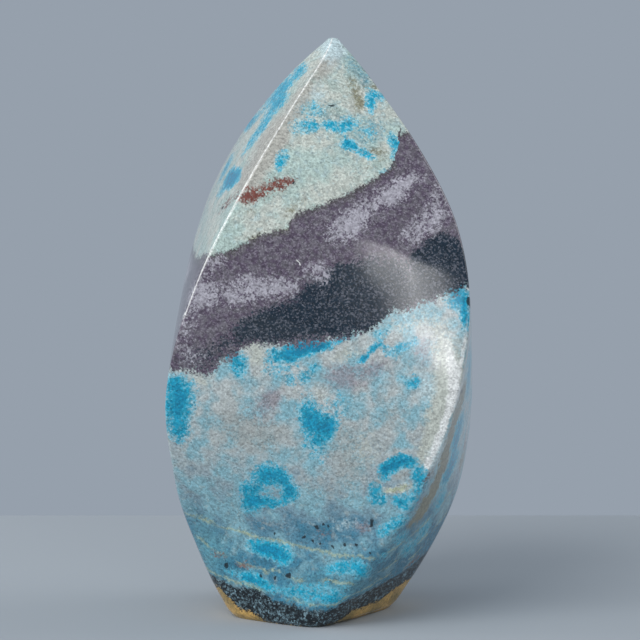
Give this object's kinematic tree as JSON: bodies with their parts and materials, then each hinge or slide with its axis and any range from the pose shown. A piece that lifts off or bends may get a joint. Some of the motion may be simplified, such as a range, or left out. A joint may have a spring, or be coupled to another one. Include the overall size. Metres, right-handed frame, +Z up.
{
  "type": "trolleite flame carving",
  "caption": "Polished stone carved as a flame: a flat foot, spiral ridges that swell and close in a blunt point, and layered blue-grey mineral bands.",
  "frame": {"origin": "middle of the stone's box at the level of its flat foot", "axes": "+Z up from the foot to the point; -Y is the front that the picture shows; +X to the right of that front"},
  "size_m": [0.0798, 0.0654, 0.15],
  "materials": {
    "stone": "polished layered stone, semi-gloss"
  },
  "bodies": {
    "root": {"flame_carving": "stone"}
  },
  "joints": []
}
